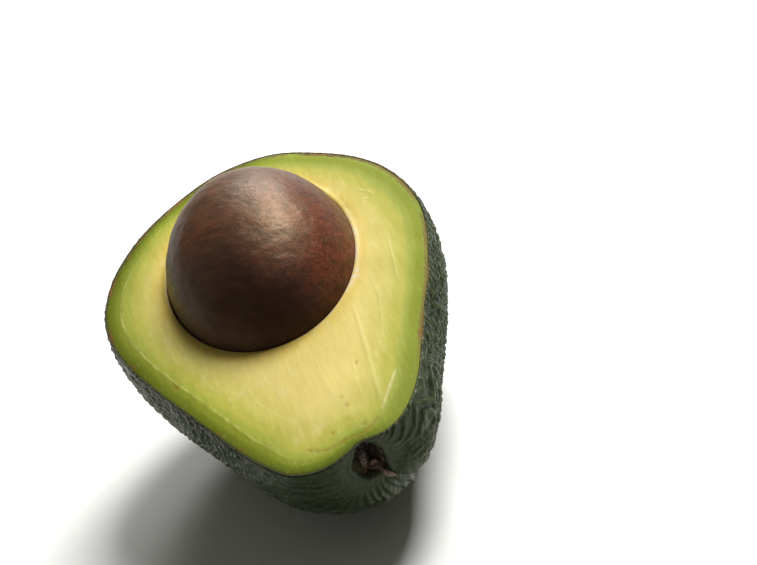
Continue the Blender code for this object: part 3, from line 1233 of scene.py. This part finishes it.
def splinter_tree(finish):
    """Stands splinters where the plug faces outwards, and joins the flap on."""
    tree, given = begin_tree(
        "splinters",
        Geometry=["Geometry"],
        Float=["Density", "Length", "Thickness"],
        Vector=["Outward"],
        Object=["Flap"],
    )
    flap_object = {"Object": given["Flap"]}
    strip = add(tree, "GeometryNodeObjectInfo", flap_object, "Geometry", transform_space="ORIGINAL")
    normal = add(tree, "GeometryNodeInputNormal")
    facing = vector_maths("DOT_PRODUCT", {0: normal, 1: given["Outward"]}, 1)
    facing = maths("GREATER_THAN", facing, 0.35)
    scattered = {"Mesh": given["Geometry"], "Selection": facing, "Density": given["Density"], "Seed": 7}
    points = add(tree, "GeometryNodeDistributePointsOnFaces", scattered)
    thorn = {"Vertices": 6, "Radius Top": 0.25, "Radius Bottom": 1.0, "Depth": 1.0}
    cone = add(tree, "GeometryNodeMeshCone", thorn)
    leaning = {0: (-0.45, -0.45, -0.45), 1: (0.45, 0.45, 0.45), "Seed": 3}
    lean = add(tree, "FunctionNodeRandomValue", leaning, data_type="FLOAT_VECTOR")
    aim = {"Vector": given["Outward"] + lean}
    turned = add(tree, "FunctionNodeAlignRotationToVector", aim, axis="Z")
    tall = add(tree, "FunctionNodeRandomValue", {2: 0.35, 3: 1.0, "Seed": 5}, 1, data_type="FLOAT")
    sizes = {0: given["Thickness"], 1: given["Thickness"], 2: tall * given["Length"]}
    size = add(tree, "ShaderNodeCombineXYZ", sizes)
    standing = {"Points": points, "Instance": cone, "Rotation": turned, "Scale": size}
    placed = add(tree, "GeometryNodeInstanceOnPoints", standing)
    both = tree.nodes.new("GeometryNodeJoinGeometry")
    for geometry in (add(tree, "GeometryNodeRealizeInstances", {0: placed}), given["Geometry"], strip):
        fill(both, {0: geometry})
    return end_tree(tree, Value(both.outputs[0]), finish)


stub = stem_plug()
flap = torn_flap()
print("plug and flap:", triangles(stub) + triangles(flap), "triangles")

# %% [markdown]
# ## The stem's finish
#
# Dry broken wood: brown where it stands high, redder in patches, with no shine to speak
# of. Towards the bottom of the dish it is painted nearly black, painted shade in the recess.


# %% Stem material
def stem_material():
    """Dry wood, brown where it stands high and painted nearly black where it lies deep, as painted shade.
    """
    finish, tree, shader = new_material("stem")
    where = add(tree, "ShaderNodeTexCoord", output="Object")
    grain = noise(where, 1400.0, detail=4.0, roughness=0.65)
    patch = noise(where, 480.0)
    woody = layered(
        (0.030, 0.020, 0.013),
        (spread(grain, 0.36, 0.64), (0.170, 0.118, 0.082)),
        (spread(patch, 0.50, 0.66, 0.0, 0.6), (0.170, 0.070, 0.045)),
    )
    # Painted shade: the deeper the wood lies, the nearer black it is painted.
    high = spread(attribute(tree, "high"), 0.05, 0.75)
    fill(
        shader,
        {
            "Base Color": blend(high, (0.014, 0.010, 0.007), woody),
            "Roughness": 0.75,
            "Normal": bump(grain, 0.6, 0.00025),
        },
    )
    return finish


grow(
    stub,
    splinter_tree(stem_material()),
    {
        "Density": 1.6e6,
        "Length": 1.0 * MM,
        "Thickness": 0.13 * MM,
        "Outward": tuple(TURN @ (0.0, -1.0, 0.0)),
        "Flap": flap,
    },
)
bpy.data.objects.remove(flap)
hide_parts("stem_stub")
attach(stub, "root")
print("stem stub with its splinters:", triangles(stub), "triangles")

# %% [markdown]
# ## Table, light and air
#
# A plain pale table runs far past the view. A broad soft lamp hangs above and a weaker
# one behind, so the near side of the seed and the skin fall into shade, and a faint lamp
# at the left lifts the skin there. A weak even light from all round keeps the shade from
# going black.


# %% Floor, lamps and surroundings
def soft_lamp(name, direction, distance, width, length, power):
    """A soft box that looks at the fruit. Its direction is given in the camera's axes."""
    right, up, back = direction
    away = unit(RIGHT * right + UP * up + BACK * back)
    side = unit(np.cross(BACK, away))
    data = bpy.data.lights.new(name, "AREA")
    data.shape = "RECTANGLE"
    data.size = width
    data.size_y = length
    data.energy = power
    target = to_world(np.array([0.0, 0.0, CUT]))
    axes = (side, np.cross(away, side), away)
    set_up(bpy.data.objects.new(name, data), axes, target + away * distance)


bpy.ops.mesh.primitive_plane_add(size=6.0, location=(0.0, 0.0, 0.0))
floor = bpy.context.object
floor.name = "floor"
floor_finish, _, shader = new_material("floor")
fill(shader, {"Base Color": (0.87, 0.87, 0.84, 1.0), "Roughness": 0.8})
floor.data.materials.append(floor_finish)

soft_lamp("key", (0.10, 0.95, 0.04), 1.2, 0.50, 0.55, 21.9)
soft_lamp("back", (-0.07, 0.85, -0.50), 1.1, 0.5, 0.4, 5.5)
soft_lamp("side", (-0.92, -0.25, -0.46), 0.8, 0.4, 0.5, 0.5)
world = bpy.data.worlds.new("surroundings")
world.use_nodes = True
fill(world.node_tree.nodes["Background"], {"Color": (1.0, 1.0, 0.87, 1.0), "Strength": 0.10})
bpy.context.scene.world = world
bpy.context.scene.view_settings.view_transform = "Standard"
print("lamps:", sorted(light.name for light in bpy.data.lights))
